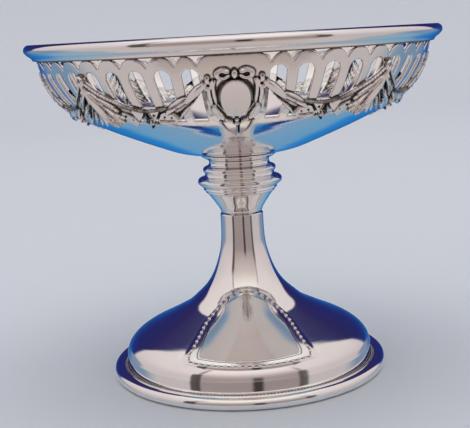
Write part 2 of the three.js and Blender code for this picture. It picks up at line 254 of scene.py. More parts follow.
def make(name, verts, faces, mat, nodes, patina_and_shade=None, sharp=None):
    """A smooth mesh from points in mm and a list of face arrays; it rides the
    body and stands for nodes."""
    me = bpy.data.meshes.new(name)
    faces = [np.atleast_2d(np.asarray(f, np.int32)) for f in faces if len(f)]
    sizes = np.concatenate([np.full(len(f), f.shape[1], np.int32) for f in faces])
    loops = np.concatenate([f.ravel() for f in faces])
    me.vertices.add(len(verts))
    me.vertices.foreach_set("co", (np.asarray(verts, np.float64) * MM).astype(np.float32).ravel())
    me.loops.add(len(loops))
    me.loops.foreach_set("vertex_index", loops)
    me.polygons.add(len(sizes))
    me.polygons.foreach_set("loop_start", np.concatenate([[0], np.cumsum(sizes)[:-1]]).astype(np.int32))
    me.update(calc_edges=True)
    me.validate()
    me.polygons.foreach_set("use_smooth", np.ones(len(me.polygons), bool))
    if sharp:
        me.set_sharp_from_angle(angle=math.radians(sharp))
    # per-point darkening: tarnish in hollows together with painted shade
    if patina_and_shade is not None:
        at = me.attributes.new("patina_and_shade", "FLOAT", "POINT")
        at.data.foreach_set("value", np.asarray(patina_and_shade, np.float32))
    me.update()
    ob = bpy.data.objects.new(name, me)
    scene.collection.objects.link(ob)
    me.materials.append(mat)
    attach(ob, "root")
    if nodes:
        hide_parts(*nodes)
    return ob


def lathe(prof, segs=360, closed=True):
    """Points and faces of a profile turned round the axis, outside to the right
    of its direction when it climbs."""
    prof = np.asarray(prof, float)
    phi = np.arange(segs) * 2 * math.pi / segs
    verts, index = [], []
    for r, z in prof:
        if r < 1e-6:
            index.append(np.full(segs, len(verts)))
            verts.append((0.0, 0.0, z))
        else:
            index.append(len(verts) + np.arange(segs))
            verts.extend(np.stack([r * np.sin(phi), -r * np.cos(phi), np.full(segs, z)], 1).tolist())
    faces = []
    n = len(prof)
    for j in range(n if closed else n - 1):
        lo, hi = index[j], index[(j + 1) % n]
        lo2, hi2 = np.roll(lo, -1), np.roll(hi, -1)
        flat_lo, flat_hi = prof[j][0] < 1e-6, prof[(j + 1) % n][0] < 1e-6
        if flat_lo and flat_hi:
            continue
        if flat_lo:
            faces.append(np.stack([lo, hi2, hi], 1))
        elif flat_hi:
            faces.append(np.stack([lo, lo2, hi], 1))
        else:
            faces.append(np.stack([lo, lo2, hi2, hi], 1))
    return np.array(verts), faces


def clip(attrs, tris, field):
    """Keep the part of a triangle mesh where field > 0. attrs is (n, k), and
    everything in it is carried to the cut."""
    inside = field > 0
    cnt = inside[tris].sum(1)
    new_keys = {}
    cut_a, cut_t = [], []

    def cut(i, j):
        """Index of the cut on the edge from i (inside) to j (outside)."""
        out = np.empty(len(i), int)
        for k in range(len(i)):
            key = (i[k], j[k])
            if key not in new_keys:
                new_keys[key] = len(attrs) + len(cut_a)
                cut_a.append(key)
            out[k] = new_keys[key]
        return out

    keep = [tris[cnt == 3]]
    two = tris[cnt == 2]
    if len(two):
        o = np.argmin(inside[two], 1)
        a = two[np.arange(len(two)), (o + 1) % 3]
        b = two[np.arange(len(two)), (o + 2) % 3]
        c = two[np.arange(len(two)), o]
        p, q = cut(b, c), cut(a, c)
        keep += [np.stack([a, b, p], 1), np.stack([a, p, q], 1)]
    one = tris[cnt == 1]
    if len(one):
        o = np.argmax(inside[one], 1)
        a = one[np.arange(len(one)), o]
        b = one[np.arange(len(one)), (o + 1) % 3]
        c = one[np.arange(len(one)), (o + 2) % 3]
        p, q = cut(a, b), cut(a, c)
        keep.append(np.stack([a, p, q], 1))
    tri = np.vstack(keep)
    if cut_a:
        ij = np.array(cut_a)
        t = field[ij[:, 0]] / (field[ij[:, 0]] - field[ij[:, 1]])
        add = attrs[ij[:, 0]] * (1 - t)[:, None] + attrs[ij[:, 1]] * t[:, None]
        attrs = np.vstack([attrs, add])
        edge = np.concatenate([field, np.zeros(len(add))])
    else:
        edge = field
    used = np.unique(tri)
    remap = np.full(len(attrs), -1)
    remap[used] = np.arange(len(used))
    return attrs[used], remap[tri], edge[used]


def closed_sheet(top, bottom, tri):
    """Two copies of a flat mesh, joined by walls along the open edges."""
    n = len(top)
    e = np.vstack([tri[:, [0, 1]], tri[:, [1, 2]], tri[:, [2, 0]]])
    key = np.sort(e, 1)
    _, first, count = np.unique(key, axis=0, return_index=True, return_counts=True)
    rim = e[first[count == 1]]
    walls = np.stack([rim[:, 1], rim[:, 0], rim[:, 0] + n, rim[:, 1] + n], 1)
    return np.vstack([top, bottom]), [tri, tri[:, ::-1] + n, walls]


def grid_tris(nu, nv, wrap=False):
    """Triangles over an nu by nv grid, index i * nv + j."""
    i, j = np.meshgrid(np.arange(nu if wrap else nu - 1), np.arange(nv - 1), indexing="ij")
    i2 = (i + 1) % nu
    a, b, c, d = i * nv + j, i2 * nv + j, i2 * nv + j + 1, i * nv + j + 1
    even = ((i + j) % 2 == 0).ravel()
    a, b, c, d = a.ravel(), b.ravel(), c.ravel(), d.ravel()
    t1 = np.where(even[:, None], np.stack([a, b, c], 1), np.stack([a, b, d], 1))
    t2 = np.where(even[:, None], np.stack([a, c, d], 1), np.stack([b, c, d], 1))
    return np.vstack([t1, t2])


def blur(h, sigma):
    """Separable soft blur of a height map, sigma in cells."""
    n = int(math.ceil(3 * sigma))
    k = np.exp(-0.5 * (np.arange(-n, n + 1) / sigma) ** 2)
    k /= k.sum()
    p = np.pad(h, ((n, n), (0, 0)), mode="edge")
    h = sum(k[m] * p[m:m + h.shape[0]] for m in range(2 * n + 1))
    p = np.pad(h, ((0, 0), (n, n)), mode="edge")
    return sum(k[m] * p[:, m:m + h.shape[1]] for m in range(2 * n + 1))


def smoothstep(a, b, x):
    t = np.clip((x - a) / (b - a), 0, 1)
    return t * t * (3 - 2 * t)


# ------------------------------------------------------------------ relief


class Relief:
    """Height map over a turned surface, built up from leaves, berries, ribbons."""

    def __init__(self, skin, per_degree, a0, a1, z0, z1, cell):
        self.skin, self.k, self.cell = skin, per_degree, cell
        u0, u1 = a0 * per_degree, a1 * per_degree
        v0, v1 = float(skin.s_of(z0)), float(skin.s_of(z1))
        self.u = np.arange(u0, u1 + cell, cell)
        self.v = np.arange(v0, v1 + cell, cell)
        self.U, self.V = np.meshgrid(self.u, self.v, indexing="ij")
        self.D = np.full(self.U.shape, -3.0)
        self.H = np.zeros(self.U.shape)
        self.E = np.full(self.U.shape, 1.0)
        # P: painted dark lines and dents, painted shade with tarnish in the grooves
        self.P = np.zeros(self.U.shape)

    def at(self, p):
        return np.array([p[0] * self.k, float(self.skin.s_of(p[1]))])

    def _window(self, lo, hi):
        i0, i1 = np.searchsorted(self.u, [lo[0], hi[0]])
        j0, j1 = np.searchsorted(self.v, [lo[1], hi[1]])
        return slice(max(i0 - 1, 0), i1 + 1), slice(max(j0 - 1, 0), j1 + 1)

    def _put(self, w, d, h):
        self.D[w] = np.maximum(self.D[w], d)
        over = (d > 0) & (h > self.H[w])
        self.E[w] = np.where(over, d, self.E[w])
        self.H[w] = np.where(over, h, self.H[w])

    def leaf(self, p0, p1, w, h, base=None, bend=0.0, fat=0.75, mid=0.8, rib=0.0, keel=0.0,
             veins=0.0):
        """Leaf from p0 to its tip p1, half width w, height h (base at the foot)."""
        a, b = self.at(p0), self.at(p1)
        L = np.linalg.norm(b - a)
        ax = (b - a) / L
        m = w + abs(bend) + 1.2
        win = self._window(np.minimum(a, b) - m, np.maximum(a, b) + m)
        du, dv = self.U[win] - a[0], self.V[win] - a[1]
        t = (du * ax[0] + dv * ax[1]) / L
        s = -du * ax[1] + dv * ax[0]
        tc = np.clip(t, 0, 1)
        s = s - bend * 4 * tc * (1 - tc)
        W = w * np.clip(np.sin(math.pi * tc ** mid), 0, 1) ** fat
        d = W - np.abs(s) - np.maximum(np.maximum(-t, t - 1), 0) * L
        x = np.abs(s) / np.maximum(W, 1e-3)
        hb = h if base is None else base
        lift = hb + (h - hb) * tc
        prof = np.sqrt(np.clip(1 - x ** 2, 0, 1)) * (1 - keel) + keel * np.clip(1 - x, 0, 1)
        hh = lift * (0.25 + 0.75 * prof)
        if rib:
            hh = hh - rib * np.exp(-(s / 0.16) ** 2) * smoothstep(0.02, 0.15, t) * (1 - smoothstep(0.8, 0.95, t))
        if veins:
            hh = hh - veins * (0.5 + 0.5 * np.sin((t * L - np.abs(s) * 0.9) * 2 * math.pi / 0.75)) * smoothstep(0.1, 0.35, x)
        self._put(win, d, hh)

    def berry(self, p, ru, rv, h, base=0.0, turn=0.0, flat=0.5):
        c = self.at(p)
        m = max(ru, rv) + 1.2
        win = self._window(c - m, c + m)
        du, dv = self.U[win] - c[0], self.V[win] - c[1]
        ct, st = math.cos(math.radians(turn)), math.sin(math.radians(turn))
        x, y = (du * ct + dv * st) / ru, (-du * st + dv * ct) / rv
        e = np.sqrt(x * x + y * y)
        d = (1 - e) * min(ru, rv)
        self._put(win, d, base + h * np.clip(1 - e * e, 0, 1) ** flat)

    def ribbon(self, path, w, h, twist=0.0, pitch=0.8, flat=0.5, smooth=True, hollow=0.0, cord=0.0):
        """Band along a path; w and h may be one number or one per point."""
        pts = np.array([self.at(p) for p in path])
        ww = np.broadcast_to(np.asarray(w, float), (len(pts),))
        hh = np.broadcast_to(np.asarray(h, float), (len(pts),))
        if smooth:
            keep = np.concatenate([pts, ww[:, None], hh[:, None]], 1)
            p = np.vstack([2 * keep[0] - keep[1], keep, 2 * keep[-1] - keep[-2]])
            fine = []
            for i in range(1, len(p) - 2):
                for t in np.arange(8) / 8:
                    fine.append(0.5 * (2 * p[i] + (p[i + 1] - p[i - 1]) * t
                                       + (2 * p[i - 1] - 5 * p[i] + 4 * p[i + 1] - p[i + 2]) * t * t
                                       + (3 * p[i] - p[i - 1] - 3 * p[i + 1] + p[i + 2]) * t ** 3))
            fine.append(p[-2])
            fine = np.array(fine)
            pts, ww, hh = fine[:, :2], fine[:, 2], fine[:, 3]
        m = ww.max() + 1.2
        win = self._window(pts.min(0) - m, pts.max(0) + m)
        U, V = self.U[win], self.V[win]
        best = np.full(U.shape, 1e9)
        W = np.ones(U.shape)
        Hh = np.zeros(U.shape)
        S = np.zeros(U.shape)
        along = np.zeros(U.shape)
        run = 0.0
        for i in range(len(pts) - 1):
            a, b = pts[i], pts[i + 1]
            L = np.linalg.norm(b - a)
            if L < 1e-9:
                continue
            ax = (b - a) / L
            du, dv = U - a[0], V - a[1]
            t = np.clip((du * ax[0] + dv * ax[1]) / L, 0, 1)
            q = np.hypot(du - t * L * ax[0], dv - t * L * ax[1])
            g = q < best
            best = np.where(g, q, best)
            W = np.where(g, ww[i] + (ww[i + 1] - ww[i]) * t, W)
            Hh = np.where(g, hh[i] + (hh[i + 1] - hh[i]) * t, Hh)
            S = np.where(g, -du * ax[1] + dv * ax[0], S)
            along = np.where(g, run + t * L, along)
            run += L
        x = best / np.maximum(W, 1e-3)
        prof = np.clip(1 - x * x, 0, 1) ** flat
        if hollow:
            prof = prof * (1 - hollow * np.exp(-(x / 0.55) ** 2))
        if twist:
            prof = prof * (1 - twist * (0.5 + 0.5 * np.cos((along + S * 0.9) * 2 * math.pi / pitch)))
        if cord:
            prof = prof * (1 - cord * (0.5 + 0.5 * np.cos(along * 2 * math.pi / pitch)))
        self._put(win, W - best, Hh * (0.15 + 0.85 * prof))

    def plate(self, poly, h_top, h_low, edge=0.35):
        """Flat plate inside a polygon, standing off more at its lower end."""
        pts = np.array([self.at(p) for p in poly])
        win = self._window(pts.min(0) - 1.2, pts.max(0) + 1.2)
        U, V = self.U[win], self.V[win]
        best = np.full(U.shape, 1e9)
        inside = np.zeros(U.shape, bool)
        for a, b in zip(pts, np.roll(pts, -1, 0)):
            L = np.linalg.norm(b - a)
            ax = (b - a) / L
            t = np.clip(((U - a[0]) * ax[0] + (V - a[1]) * ax[1]) / L, 0, 1)
            best = np.minimum(best, np.hypot(U - a[0] - t * L * ax[0], V - a[1] - t * L * ax[1]))
            if a[1] != b[1]:
                hit = ((a[1] > V) != (b[1] > V)) & (U < (b[0] - a[0]) * (V - a[1]) / (b[1] - a[1]) + a[0])
                inside ^= hit
        d = np.where(inside, best, -best)
        t = np.clip((pts[:, 1].max() - V) / np.ptp(pts[:, 1]), 0, 1)
        x = 1 - np.clip(d / edge, 0, 1)
        self._put(win, d, (h_top + (h_low - h_top) * t) * (0.3 + 0.7 * np.sqrt(np.clip(1 - x * x, 0, 1))))

    def tarnish_and_shade_line(self, path, w, amount):
        """Dark line along a path: painted shade in grooves and gaps, under berries and along the shadowed cord, with
        tarnish in the grooves.
        """
        pts = np.array([self.at(p) for p in path])
        win = self._window(pts.min(0) - 3 * w, pts.max(0) + 3 * w)
        U, V = self.U[win], self.V[win]
        best = np.full(U.shape, 1e9)
        for a, b in zip(pts[:-1], pts[1:]):
            L = np.linalg.norm(b - a)
            ax = (b - a) / L
            t = np.clip(((U - a[0]) * ax[0] + (V - a[1]) * ax[1]) / L, 0, 1)
            best = np.minimum(best, np.hypot(U - a[0] - t * L * ax[0], V - a[1] - t * L * ax[1]))
        self.P[win] = np.maximum(self.P[win], amount * np.exp(-(best / w) ** 2))

    def pit(self, p, r, depth):
        c = self.at(p)
        win = self._window(c - 3 * r, c + 3 * r)
        q = ((self.U[win] - c[0]) ** 2 + (self.V[win] - c[1]) ** 2) / r ** 2
        self.H[win] = np.maximum(self.H[win] - depth * np.exp(-q), 0.05)
        # the dent is painted dark: painted shade in it
        self.P[win] = np.maximum(self.P[win], 0.9 * np.exp(-q * q))

    def cut_line(self, path, w, depth):
        pts = np.array([self.at(p) for p in path])
        win = self._window(pts.min(0) - 3 * w, pts.max(0) + 3 * w)
        U, V = self.U[win], self.V[win]
        best = np.full(U.shape, 1e9)
        for a, b in zip(pts[:-1], pts[1:]):
            L = np.linalg.norm(b - a)
            ax = (b - a) / L
            t = np.clip(((U - a[0]) * ax[0] + (V - a[1]) * ax[1]) / L, 0, 1)
            best = np.minimum(best, np.hypot(U - a[0] - t * L * ax[0], V - a[1] - t * L * ax[1]))
        self.H[win] = np.maximum(self.H[win] - depth * np.exp(-(best / w) ** 2), 0.05)

    def mesh(self, base, thick, soften=0.0, low=-0.05):
        """Closed mesh data: points, faces, and the darkening per point: tarnish in the hollows together with painted
        shade in recesses and along the outlines.
        """
        H = self.H
        if soften:
            H = np.where(self.D > 0, blur(H, soften), H)
        wide = blur(H, 0.42 / self.cell)
        tight = blur(H, 0.18 / self.cell)
        # painted shade with tarnish where the relief sits below its surroundings and on low ground; painted shade
        # along the outlines of the pieces
        cavity = np.clip((wide - H) / 0.30, 0, 1) * 0.75 + np.clip((tight - H) / 0.10, 0, 1) * 0.5
        edge = 1 - smoothstep(0.0, 0.20, np.minimum(self.D, self.E))
        pat = np.clip(cavity + 0.6 * edge + 0.5 * (1 - smoothstep(0.08, 0.45, H)) + self.P, 0, 1)
        data = np.stack([self.U.ravel(), self.V.ravel(), H.ravel(), pat.ravel()], 1)
        tri = grid_tris(*self.U.shape)
        data, tri, _ = clip(data, tri, self.D.ravel())
        self.flat = data
        ang = data[:, 0] / self.k
        top = self.skin.place(ang, data[:, 1], base + data[:, 2])
        under = np.maximum(low, data[:, 2] - thick)
        bot = self.skin.place(ang, data[:, 1], under)
        v, f = closed_sheet(top, bot, tri)
        return v, f, np.concatenate([data[:, 3], np.full(len(data), 0.22)])

    def near(self, u, v):
        """Distance-like field of the relief at points, bilinear; far is -3."""
        i = (u - self.u[0]) / self.cell
        j = (v - self.v[0]) / self.cell
        ok = (i >= 0) & (j >= 0) & (i < len(self.u) - 1) & (j < len(self.v) - 1)
        i0 = np.clip(i.astype(int), 0, len(self.u) - 2)
        j0 = np.clip(j.astype(int), 0, len(self.v) - 2)
        fi, fj = i - i0, j - j0
        g = (self.D[i0, j0] * (1 - fi) * (1 - fj) + self.D[i0 + 1, j0] * fi * (1 - fj)
             + self.D[i0, j0 + 1] * (1 - fi) * fj + self.D[i0 + 1, j0 + 1] * fi * fj)
        return np.where(ok, g, -3.0)


def turned_by(v, deg):
    a = math.radians(deg)
    x = v[:, 0] * math.cos(a) - v[:, 1] * math.sin(a)
    y = v[:, 0] * math.sin(a) + v[:, 1] * math.cos(a)
    return np.stack([x, y, v[:, 2]], 1)


def mirrored(v, f):
    w = v.copy()
    w[:, 0] = -w[:, 0]
    return w, [q[:, ::-1] for q in f]


CELL = 0.13
DEG = 0.813

# medallion: bow, two florets, leaf wreath, tie and tails --------------------
wreath = Relief(bowl, DEG, -9.6, 9.6, 66.6, 85.2, CELL)
for s in (-1, 1):
    # sides of the wreath: two slim leaves with a bead below, then one broad leaf
    wreath.ribbon([(s * 5.0, 80.5), (s * 5.6, 79.2), (s * 5.62, 77.6), (s * 5.45, 76.2), (s * 5.5, 75.2)],
                  [0.28, 0.46, 0.50, 0.46, 0.30], [0.85, 1.0, 1.05, 1.0, 0.8], flat=0.45)
    wreath.ribbon([(s * 6.6, 79.2), (s * 6.95, 78.1), (s * 6.9, 76.8), (s * 6.65, 75.7), (s * 6.2, 74.9)],
                  [0.30, 0.52, 0.56, 0.50, 0.30], [0.85, 1.0, 1.0, 0.95, 0.8], flat=0.45)
    wreath.ribbon([(s * 6.35, 75.0), (s * 6.1, 74.1), (s * 5.3, 73.0), (s * 4.1, 72.1), (s * 3.2, 71.7)],
                  [0.35, 0.85, 1.02, 0.85, 0.30], [0.8, 1.0, 1.05, 1.0, 0.8], flat=0.4)
    wreath.cut_line([(s * 5.6, 74.6), (s * 4.9, 73.2), (s * 3.8, 72.2)], 0.11, 0.22)
    wreath.cut_line([(s * 3.9, 73.2), (s * 3.3, 72.3), (s * 3.7, 71.4)], 0.16, 0.55)
    wreath.ribbon([(s * 3.5, 71.6), (s * 2.3, 71.25), (s * 0.8, 71.0)], [0.25, 0.60, 0.32], [0.8, 1.0, 0.9], flat=0.45)
    wreath.berry((s * 5.9, 75.05), 0.56, 0.52, 0.6, 0.95)
    # fat bow loops with a round eye that runs out to the knot
    wreath.berry((s * 3.0, 81.85), 1.78, 1.45, 0.95, 0.25, turn=s * -8, flat=0.32)
    wreath.cut_line([(s * 1.3, 82.75), (s * 2.9, 82.85), (s * 4.4, 82.3)], 0.14, 0.22)
    # the eye dented and painted dark: painted shade
    wreath.pit((s * 3.1, 81.65), 0.56, 1.3)
    wreath.cut_line([(s * 3.0, 81.65), (s * 1.8, 81.75), (s * 0.6, 81.9)], 0.26, 0.85)
    # florets: three petals that open upward round a dented eye with painted shade in it
    wreath.leaf((s * 7.15, 78.4), (s * 8.5, 80.35), 0.62, 1.0, 0.85, bend=s * -0.15, fat=0.5, mid=1.2)
    wreath.leaf((s * 7.05, 78.4), (s * 5.5, 80.75), 0.62, 1.0, 0.85, bend=s * 0.15, fat=0.5, mid=1.2)
    wreath.leaf((s * 7.1, 78.6), (s * 6.95, 81.3), 0.66, 0.9, 0.8, fat=0.5, mid=1.15)
    wreath.pit((s * 7.05, 79.55), 0.34, 0.9)
    wreath.berry((s * 6.9, 81.2), 0.55, 0.55, 0.35, 0.6)
    wreath.pit((s * 6.9, 81.3), 0.22, 0.4)
    # tails below the tie, hatched along the outer edge
    wreath.plate([(s * 0.15, 71.3), (s * 4.6, 71.0), (s * 3.9, 69.9), (s * 2.7, 68.6), (s * 1.3, 67.7), (s * 0.1, 67.6)],
                 0.55, 1.0)
    wreath.ribbon([(s * 5.0, 70.9), (s * 4.1, 69.8), (s * 2.9, 68.5)], [0.34, 0.42, 0.30], [0.75, 0.9, 0.8],
                  twist=0.6, pitch=0.66)
    # painted shade in the hatching of the tails
    wreath.tarnish_and_shade_line([(s * 4.5, 70.8), (s * 3.6, 69.7), (s * 2.4, 68.4)], 0.22, 0.8)
wreath.berry((0, 81.9), 0.68, 1.0, 0.65, 0.75, flat=0.45)
wreath.berry((0, 72.0), 0.55, 0.5, 0.5, 1.0)
wreath.berry((0, 71.1), 0.60, 0.5, 0.5, 1.0)
# painted shade with tarnish down the split between the tails and beside the tie
wreath.cut_line([(0.5, 70.6), (0.45, 67.7)], 0.2, 0.8)
wreath.tarnish_and_shade_line([(0.5, 70.6), (0.45, 67.9)], 0.24, 0.9)
for s in (-1, 1):
    wreath.cut_line([(s * 1.05, 72.5), (s * 0.95, 70.6)], 0.16, 0.8)
    wreath.tarnish_and_shade_line([(s * 1.05, 72.5), (s * 0.95, 70.6)], 0.22, 0.9)
    wreath.cut_line([(s * 1.0, 82.9), (s * 0.85, 81.0)], 0.14, 0.5)

# garland, from the medallion at 0 to the hook at 45 -------------------------
swag = Relief(bowl, DEG, 5.5, 47.0, 68.6, 83.6, CELL)
# low ground that carries the leaves
swag.ribbon([(7.8, 79.4), (11, 77.3), (14.5, 75.0), (18.5, 73.2), (22, 72.6), (25.5, 72.8), (28.6, 72.8), (32, 73.2),
             (35.5, 74.2)],
            [0.5, 0.85, 1.15, 1.2, 1.2, 1.2, 1.3, 1.1, 0.8], 0.24, flat=0.15)
swag.ribbon([(35.5, 74.2), (38, 75.4), (40.3, 76.5), (42.3, 77.6), (43.8, 78.9), (44.6, 80.2)],
            [0.8, 0.8, 0.9, 0.9, 0.7, 0.4], 0.24, flat=0.15)
# husks that step down from the medallion, with a slim leaf under them
swag.leaf((10.2, 77.1), (17.5, 72.2), 0.50, 0.85, 0.75, bend=0.1, fat=0.4, mid=0.9)
swag.leaf((7.6, 79.9), (13.7, 76.0), 1.0, 1.2, 0.95, bend=0.1, fat=0.42, mid=0.8)
swag.leaf((12.5, 77.0), (20.9, 73.6), 1.0, 1.2, 0.95, bend=0.25, fat=0.42, mid=0.85)
swag.cut_line([(10.2, 77.2), (12.6, 75.6), (15.4, 74.0), (17.8, 73.1)], 0.15, 0.7)
swag.berry((7.6, 79.85), 0.42, 0.42, 0.4, 0.7)
swag.berry((17.0, 72.3), 0.38, 0.38, 0.4, 0.6)
# a dent painted dark: painted shade
swag.pit((16.8, 74.9), 0.26, 0.7)
# broad dotted leaves either side of the lowest point
swag.plate([(16.6, 72.6), (18.4, 73.6), (20.8, 73.9), (22.8, 73.5), (24.4, 72.4), (22.6, 71.9), (20.4, 72.0), (18.2, 72.1)],
           0.5, 1.9)
swag.plate([(31.4, 71.8), (32.4, 72.9), (34.6, 73.7), (38.2, 74.2), (37.4, 72.9), (35.4, 71.6), (33.2, 71.0)], 0.55, 1.5)
# dots dented and painted dark: painted shade
for a, z, r in (
        (19.4, 72.9, 0.2), (21.6, 73.0, 0.24), (33.2, 72.5, 0.2), (35.2, 73.2, 0.2), (34.9, 71.8, 0.16)):
    swag.pit((a, z), r, 0.7)
# painted shade along the edge of the broad leaf
swag.tarnish_and_shade_line([(25.0, 71.9), (24.0, 73.0), (22.6, 73.9)], 0.26, 0.95)
swag.cut_line([(18.6, 72.5), (20.8, 72.5), (23.2, 72.6)], 0.14, 0.4)
# two leaves that hang from the cord, berries between them
swag.plate([(22.5, 74.3), (27.1, 74.2), (26.7, 73.3), (25.5, 72.2), (24.6, 72.6), (23.6, 73.4)], 0.35, 1.8)
swag.plate([(27.9, 74.2), (33.4, 75.0), (32.3, 73.8), (30.9, 72.3), (29.6, 72.8), (28.3, 73.5)], 0.35, 2.0)
# a dent and the cuts between the hanging leaves painted dark: painted shade
swag.pit((25.0, 73.3), 0.30, 0.9)
swag.cut_line([(25.6, 72.7), (26.5, 73.9)], 0.16, 0.6)
swag.tarnish_and_shade_line([(25.6, 72.7), (26.5, 73.9)], 0.2, 0.8)
swag.cut_line([(30.3, 72.6), (32.2, 73.9)], 0.18, 0.8)
swag.tarnish_and_shade_line([(30.3, 72.6), (32.2, 73.9)], 0.2, 0.7)
swag.cut_line([(27.5, 74.0), (27.5, 70.4)], 0.30, 1.0)
swag.tarnish_and_shade_line([(27.5, 73.9), (27.5, 70.9)], 0.42, 1.0)
# painted shadow under each berry
for a, z, r in ((27.5, 72.7, 0.46), (26.7, 71.7, 0.46), (25.1, 71.5, 0.40), (28.7, 71.7, 0.48), (27.7, 70.9, 0.40)):
    swag.berry((a, z), r, r, 0.7, 0.8)
    swag.tarnish_and_shade_line([(a - 0.5, z - 0.5), (a + 0.5, z - 0.5)], 0.2, 0.7)
# blades that fall from the hook
for a0, z0, a1, z1, w, h0, h1, bend in ((44.5, 79.4, 36.2, 74.3, 0.46, 1.0, 1.3, 0.2), (42.2, 77.9, 36.6, 75.4, 0.30, 1.0, 1.2, 0.1),
                                        (44.6, 77.6, 35.2, 73.0, 0.46, 0.9, 1.7, 0.5), (44.5, 76.6, 36.6, 72.0, 0.46, 0.9, 1.8, 0.6),
                                        (44.3, 75.6, 38.6, 71.6, 0.44, 0.8, 1.8, 0.5), (44.4, 74.9, 40.9, 71.3, 0.44, 0.7, 1.8, 0.3),
                                        (44.8, 74.4, 43.0, 71.1, 0.42, 0.7, 1.7, 0.2), (41.2, 75.9, 37.2, 73.6, 0.26, 1.2, 1.9, 0.1),
                                        (42.6, 74.3, 40.0, 72.0, 0.24, 1.2, 2.0, 0.1)):
    swag.leaf((a0, z0), (a1, z1), w, h1, h0, bend=bend, fat=0.42, mid=1.0, keel=0.7)
# painted shade in the gaps between the blades
for path in (((44.2, 78.5), (40.6, 76.1), (36.6, 73.7)), ((44.2, 77.1), (40.6, 74.6), (36.3, 72.5)),
             ((44.1, 76.1), (41.0, 73.6), (37.8, 71.9)), ((44.1, 75.2), (42.0, 72.9), (39.8, 71.4)),
             ((44.4, 74.5), (43.0, 72.3), (42.0, 71.1))):
    swag.cut_line(path, 0.2, 0.8)
    swag.tarnish_and_shade_line(path, 0.26, 1.0)
# cord along the upper edge
swag.ribbon([(15.6, 76.1), (18, 75.2), (20.7, 74.6), (25.8, 74.2), (29, 74.35), (32.4, 75.0), (36.6, 76.7), (40.7, 78.6),
             (44.2, 81.0)], [0.2, 0.28, 0.32, 0.34, 0.34, 0.32, 0.30, 0.30, 0.3],
            [0.6, 0.7, 0.75, 0.8, 0.8, 0.85, 1.0, 1.1, 1.1], flat=0.45, twist=0.14, pitch=0.8)
# painted shadow along the cord's upper edge and over the blades
swag.tarnish_and_shade_line([(14.0, 76.7), (18, 75.2), (20.7, 74.5), (25.8, 74.15), (29, 74.3), (32.4, 74.9), (34.4, 75.6)], 0.30, 0.8)
swag.tarnish_and_shade_line([(32.0, 74.4), (36.4, 76.0), (40.3, 77.7), (43.8, 80.1)], 0.26, 0.95)
swag.cut_line([(33.0, 74.5), (36.4, 76.0), (40.3, 77.7), (43.8, 80.1)], 0.16, 0.6)

# hook and drop at 45 --------------------------------------------------------
drop = Relief(bowl, DEG, -4.0, 4.0, 68.6, 84.2, CELL)
drop.ribbon([(0, 80.8), (0, 78.6), (0, 76.0), (0, 73.4), (0, 71.6)], [0.45, 0.6, 0.85, 1.25, 1.1],
            [1.45, 1.4, 1.3, 1.15, 0.8], flat=0.5)
for s in (-1, 1):
    drop.leaf((s * 0.6, 73.6), (s * 0.9, 70.2), 0.60, 0.7, 1.0, bend=s * -0.1, fat=0.5, mid=0.8, keel=0.3)
    drop.leaf((s * 0.4, 79.4), (s * 2.3, 71.4), 0.55, 0.8, 1.1, bend=s * -0.3, fat=0.5, mid=0.95, keel=0.4)
    drop.leaf((s * 0.4, 80.2), (s * 2.4, 75.8), 0.46, 0.75, 1.1, bend=s * -0.3, fat=0.5, mid=0.95, keel=0.3)
    drop.ribbon([(s * 0.1, 80.6), (s * 0.85, 81.2), (s * 0.95, 81.9), (s * 0.35, 82.4)], [0.40, 0.44, 0.44, 0.40],
                [1.2, 1.35, 1.3, 1.1], flat=0.45)
# the eye of the hook dented and painted dark: painted shade
drop.pit((0, 81.6), 0.3, 1.2)
drop.leaf((0, 73.4), (0, 70.0), 0.62, 0.7, 1.05, fat=0.5, mid=0.8, keel=0.3)

# ------------------------------------------------------------------ pieces
# rim border: a roll above a cove
RIM = chain(
    [(51.3, 87.4), (51.25, 85.9)],
    spline([(51.25, 85.9), (51.55, 85.85), (51.8, 85.92), (51.92, 86.1)], 0.08),
    spline([(51.92, 86.1), (52.15, 86.45), (52.6, 86.85), (53.15, 87.25), (53.6, 87.7)], 0.12),
    spline([(53.6, 87.7), (53.85, 88.05), (53.98, 88.55), (53.88, 89.1), (53.5, 89.62), (52.8, 89.96), (52.05, 89.83),
            (51.4, 89.4), (50.85, 88.8), (50.4, 88.1), (50.2, 87.4)], 0.1),
)
v, f = lathe(RIM, 480)
rv = np.hypot(v[:, 0], v[:, 1])
# the band at the foot of the rim, where it meets the gallery, is painted dark: painted shadow under the roll
make("rim_border_fine", v, f, POLISHED, ["rim_border"],
     0.95 * (1 - smoothstep(85.98, 86.18, v[:, 2])) * (rv < 51.95), sharp=32)

# dish: spun bottom with a rounded inner face
cut = bowl.z <= DISH_TOP
outer = np.stack([bowl.r[cut], bowl.z[cut]], 1)[::4]
outer = chain(outer, [(float(np.interp(DISH_TOP, bowl.z, bowl.r)), DISH_TOP)])
inner = offset(outer, -SHEET)
inner = inner[inner[:, 0] > 8.6]
outer = outer[outer[:, 0] > 11.4]
DISH = chain([(0, 58.9), (10.2, 58.9)], spline([(10.2, 58.9), (10.7, 58.98), outer[0]], 0.12), outer, inner[::-1],
             spline([inner[0], (6.0, inner[0][1] - 0.25), (3.0, inner[0][1] - 0.32), (0.0, inner[0][1] - 0.34)], 0.5))
v, f = lathe(DISH, 384, closed=False)
make("bowl_dish_fine", v, f, POLISHED, ["bowl_dish"], sharp=40)

